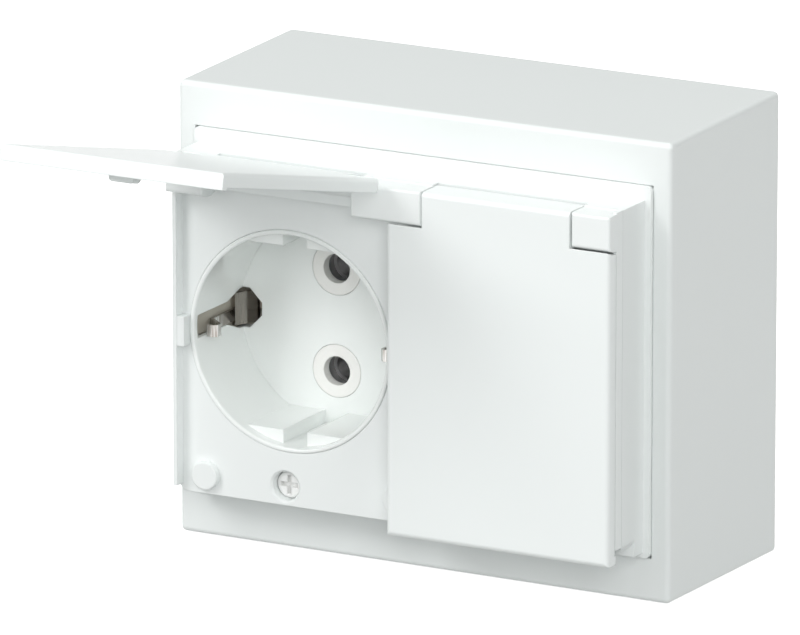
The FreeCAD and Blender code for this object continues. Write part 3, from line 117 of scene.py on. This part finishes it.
def new_material(name):
    """An empty material with its output, its shader and object coordinates."""
    material = bpy.data.materials.new(name)
    material.use_nodes = True
    tree = material.node_tree
    tree.nodes.clear()
    output = tree.nodes.new("ShaderNodeOutputMaterial")
    shader = tree.nodes.new("ShaderNodeBsdfPrincipled")
    tree.links.new(shader.outputs["BSDF"], output.inputs["Surface"])
    coordinates = tree.nodes.new("ShaderNodeTexCoord")
    return material, tree, shader, coordinates.outputs["Object"]


def noise(tree, vector, scale, detail, stretch=None):
    """A noise texture, stretched along the axes if asked."""
    if stretch:
        mapping = tree.nodes.new("ShaderNodeMapping")
        mapping.inputs["Scale"].default_value = stretch
        tree.links.new(vector, mapping.inputs["Vector"])
        vector = mapping.outputs["Vector"]
    texture = tree.nodes.new("ShaderNodeTexNoise")
    texture.inputs["Scale"].default_value = scale
    texture.inputs["Detail"].default_value = detail
    tree.links.new(vector, texture.inputs["Vector"])
    return texture.outputs["Fac"]


def rescaled(tree, value, from_low, from_high, to_low, to_high):
    """Maps a value from one range onto another."""
    ramp = tree.nodes.new("ShaderNodeMapRange")
    ramp.inputs["From Min"].default_value = from_low
    ramp.inputs["From Max"].default_value = from_high
    ramp.inputs["To Min"].default_value = to_low
    ramp.inputs["To Max"].default_value = to_high
    tree.links.new(value, ramp.inputs["Value"])
    return ramp.outputs["Result"]


def spread(tree, value, low, high):
    """Maps a noise value, which lies between 0 and 1, onto a range."""
    return rescaled(tree, value, 0.0, 1.0, low, high)


def arithmetic(tree, operation, first, second=None):
    """A math node. Each input is another node's output or a number."""
    node = tree.nodes.new("ShaderNodeMath")
    node.operation = operation
    for index, value in enumerate((first, second)):
        if isinstance(value, (int, float)):
            node.inputs[index].default_value = value
        elif value is not None:
            tree.links.new(value, node.inputs[index])
    return node.outputs[0]


def split_axes(tree, vector):
    """The outputs X, Y and Z of a vector."""
    parts = tree.nodes.new("ShaderNodeSeparateXYZ")
    tree.links.new(vector, parts.inputs["Vector"])
    return parts.outputs


def mixed(tree, share, first, second):
    """A mixture of two colours, each a tuple or another node's output. The share is the second one's."""
    mix = tree.nodes.new("ShaderNodeMix")
    mix.data_type = "RGBA"
    for socket, colour in (("A", first), ("B", second)):
        if isinstance(colour, tuple):
            mix.inputs[socket].default_value = (*colour, 1)
        else:
            tree.links.new(colour, mix.inputs[socket])
    tree.links.new(share, mix.inputs["Factor"])
    return mix.outputs["Result"]


def tint(tree, value, colour, change):
    """A colour that varies a little with a noise value."""
    darker = tuple(channel * (1 - change) for channel in colour)
    return mixed(tree, value, darker, colour)


def vary_roughness(tree, shader, value, low, high):
    """Lets the roughness follow a noise value."""
    tree.links.new(spread(tree, value, low, high), shader.inputs["Roughness"])


def add_bump(tree, shader, heights, distance, strength):
    """Gives the shader a bump from a noise value."""
    bump = tree.nodes.new("ShaderNodeBump")
    bump.inputs["Strength"].default_value = strength
    bump.inputs["Distance"].default_value = distance
    tree.links.new(heights, bump.inputs["Height"])
    tree.links.new(bump.outputs["Normal"], shader.inputs["Normal"])


def moulded_plastic(name, colour, roughness):
    """Injection-moulded plastic: smooth and even, with the faintest flow marks and soft edges."""
    material, tree, shader, place = new_material(name)
    flow = noise(tree, place, flow_mark_scale, detail=1.0, stretch=flow_along_z)
    tree.links.new(tint(tree, flow, colour, change=0.01), shader.inputs["Base Color"])
    vary_roughness(tree, shader, flow, roughness - 0.015, roughness + 0.015)
    soften = tree.nodes.new("ShaderNodeBevel")
    soften.samples = soft_edge_samples
    soften.inputs["Radius"].default_value = soft_edge
    tree.links.new(soften.outputs["Normal"], shader.inputs["Normal"])
    shader.inputs["IOR"].default_value = plastic_refraction
    return material


def carrier_material(name, colour, bore_shade_colour, roughness):
    """The carriers' insulating plastic, with painted shade: dark grey within the bores that lead to the
    contacts.
    """
    material, tree, shader, place = new_material(name)
    axes = split_axes(tree, place)
    across = arithmetic(tree, "SUBTRACT", arithmetic(tree, "ABSOLUTE", axes["X"]), pin_across)
    level = arithmetic(tree, "SUBTRACT", axes["Z"], cup_centre_z)
    above = arithmetic(tree, "SUBTRACT", arithmetic(tree, "ABSOLUTE", level), pin_above)
    across_squared = arithmetic(tree, "MULTIPLY", across, across)
    above_squared = arithmetic(tree, "MULTIPLY", above, above)
    distance_squared = arithmetic(tree, "ADD", across_squared, above_squared)
    # Painted shade: the carrier turns dark grey within each pin bore.
    in_bore_shade = arithmetic(tree, "LESS_THAN", distance_squared, bore_shade_radius ** 2)
    flow = noise(tree, place, flow_mark_scale, detail=1.0)
    plain = tint(tree, flow, colour, change=0.03)
    tree.links.new(mixed(tree, in_bore_shade, plain, bore_shade_colour), shader.inputs["Base Color"])
    vary_roughness(tree, shader, flow, roughness - 0.03, roughness + 0.03)
    return material


def plated_metal(name, colour, roughness, stretch):
    """Plated or drawn sheet metal with fine lines along one direction."""
    material, tree, shader, place = new_material(name)
    lines = noise(tree, place, drawn_line_scale, detail=3.0, stretch=stretch)
    tree.links.new(tint(tree, lines, colour, change=0.10), shader.inputs["Base Color"])
    vary_roughness(tree, shader, lines, roughness - 0.04, roughness + 0.06)
    add_bump(tree, shader, lines, distance=0.00003, strength=0.25)
    shader.inputs["Metallic"].default_value = 1.0
    return material


def clip_metal(name, lit_colour, shade_colour, roughness):
    """Nickel plate, shining and streaked at the clips' noses, with painted shade that darkens it deep in the
    cup behind them.
    """
    material, tree, shader, place = new_material(name)
    streaks = noise(tree, place, clip_streak_scale, detail=2.0, stretch=streaks_along_z)
    # Painted shade: the clips turn from lit to dark with depth in the cup, along Y.
    lit_share = rescaled(tree, split_axes(tree, place)["Y"], clip_shaded_y, clip_lit_y, 0.0, 1.0)
    lit_streak_share = arithmetic(tree, "MULTIPLY", lit_share, spread(tree, streaks, low=-1.6, high=2.1))
    tree.links.new(mixed(tree, lit_streak_share, shade_colour, lit_colour), shader.inputs["Base Color"])
    vary_roughness(tree, shader, streaks, roughness - 0.04, roughness + 0.04)
    add_bump(tree, shader, streaks, distance=0.00003, strength=0.3)
    shader.inputs["Metallic"].default_value = 1.0
    return material


def soft_rubber(name, colour):
    """Moulded rubber with a matt, faintly dusty skin."""
    material, tree, shader, place = new_material(name)
    dust = noise(tree, place, rubber_dust_scale, detail=4.0)
    tree.links.new(tint(tree, dust, colour, change=0.12), shader.inputs["Base Color"])
    vary_roughness(tree, shader, dust, low=0.55, high=0.72)
    grain = noise(tree, place, rubber_grain_scale, detail=3.0)
    add_bump(tree, shader, grain, distance=0.00004, strength=0.4)
    return material


finishes = {
    "box_plastic": moulded_plastic("box_plastic_look", box_white, roughness=0.34),
    "cover_plastic": moulded_plastic("cover_plastic_look", cover_white, roughness=0.30),
    "lid_plastic": moulded_plastic("lid_plastic_look", lid_white, roughness=0.28),
    "cup_plastic": moulded_plastic("cup_plastic_look", cup_white, roughness=0.18),
    "bush_plastic": moulded_plastic("bush_plastic_look", bush_white, roughness=0.36),
    "carrier_plastic": carrier_material("carrier_plastic_look", carrier_beige, carrier_bore_shade_grey, 0.45),
    "seal_rubber": soft_rubber("seal_rubber_look", seal_grey),
    "nickel": clip_metal("nickel_look", nickel_tone, clip_shade_tone, roughness=0.12),
    "brass_contact": plated_metal("contact_look", contact_tone, roughness=0.32, stretch=lines_along_y),
    "steel": plated_metal("steel_look", steel_tone, roughness=0.25, stretch=lines_along_x),
    "screw_finish": moulded_plastic("screw_look", screw_tone, roughness=0.30),
}


def dress_nodes():
    """Gives every CAD node the finish of its material slot."""
    for part in frame["record"]["subparts"]:
        node = frame["nodes"][part["node"]]
        look = finishes[part["material_slot"]]
        if not node.data.materials:
            node.data.materials.append(look)
        for index in range(len(node.data.materials)):
            node.data.materials[index] = look


def add_stage():
    """A plain white floor under the box."""
    bpy.ops.mesh.primitive_plane_add(size=floor_width, location=(0, 0, cad_low[2]))
    floor = bpy.context.object
    floor.name = "floor"
    material, _, shader, _ = new_material("floor_look")
    shader.inputs["Base Color"].default_value = (*floor_white, 1)
    shader.inputs["Roughness"].default_value = floor_roughness
    shader.inputs["Specular IOR Level"].default_value = 0.0
    shader.inputs["Emission Color"].default_value = (1, 1, 1, 1)
    shader.inputs["Emission Strength"].default_value = floor_glow
    floor.data.materials.append(material)
    floor.visible_diffuse = False


def add_area_light(name, place, size, power):
    """A soft square light aimed at the socket."""
    data = bpy.data.lights.new(name, "AREA")
    data.energy = power
    data.size = size
    light = bpy.data.objects.new(name, data)
    light.location = place
    light.rotation_euler = (light_target - Vector(place)).to_track_quat("-Z", "Y").to_euler()
    bpy.context.scene.collection.objects.link(light)


def add_lights():
    """Even light from all round, with soft square lights that give the photograph's shading."""
    world = bpy.data.worlds.new("studio")
    world.use_nodes = True
    background = world.node_tree.nodes["Background"]
    background.inputs["Color"].default_value = (*surround_tint, 1)
    background.inputs["Strength"].default_value = surround_strength
    bpy.context.scene.world = world
    for name, (place, size, power) in lights.items():
        add_area_light(name, place, size, power)


def add_camera():
    """The camera at the photograph's viewing angle."""
    data = bpy.data.cameras.new("camera")
    data.sensor_width = camera_sensor
    data.lens = camera_lens
    data.clip_start = nearest_seen
    data.clip_end = farthest_seen
    camera = bpy.data.objects.new("camera", data)
    camera.location = camera_place
    camera.rotation_euler = (math.pi / 2 - camera_drop, 0.0, camera_azimuth)
    bpy.context.scene.collection.objects.link(camera)
    bpy.context.scene.camera = camera


dress_nodes()
add_stage()
add_lights()
add_camera()
bpy.context.scene.view_settings.view_transform = "Standard"
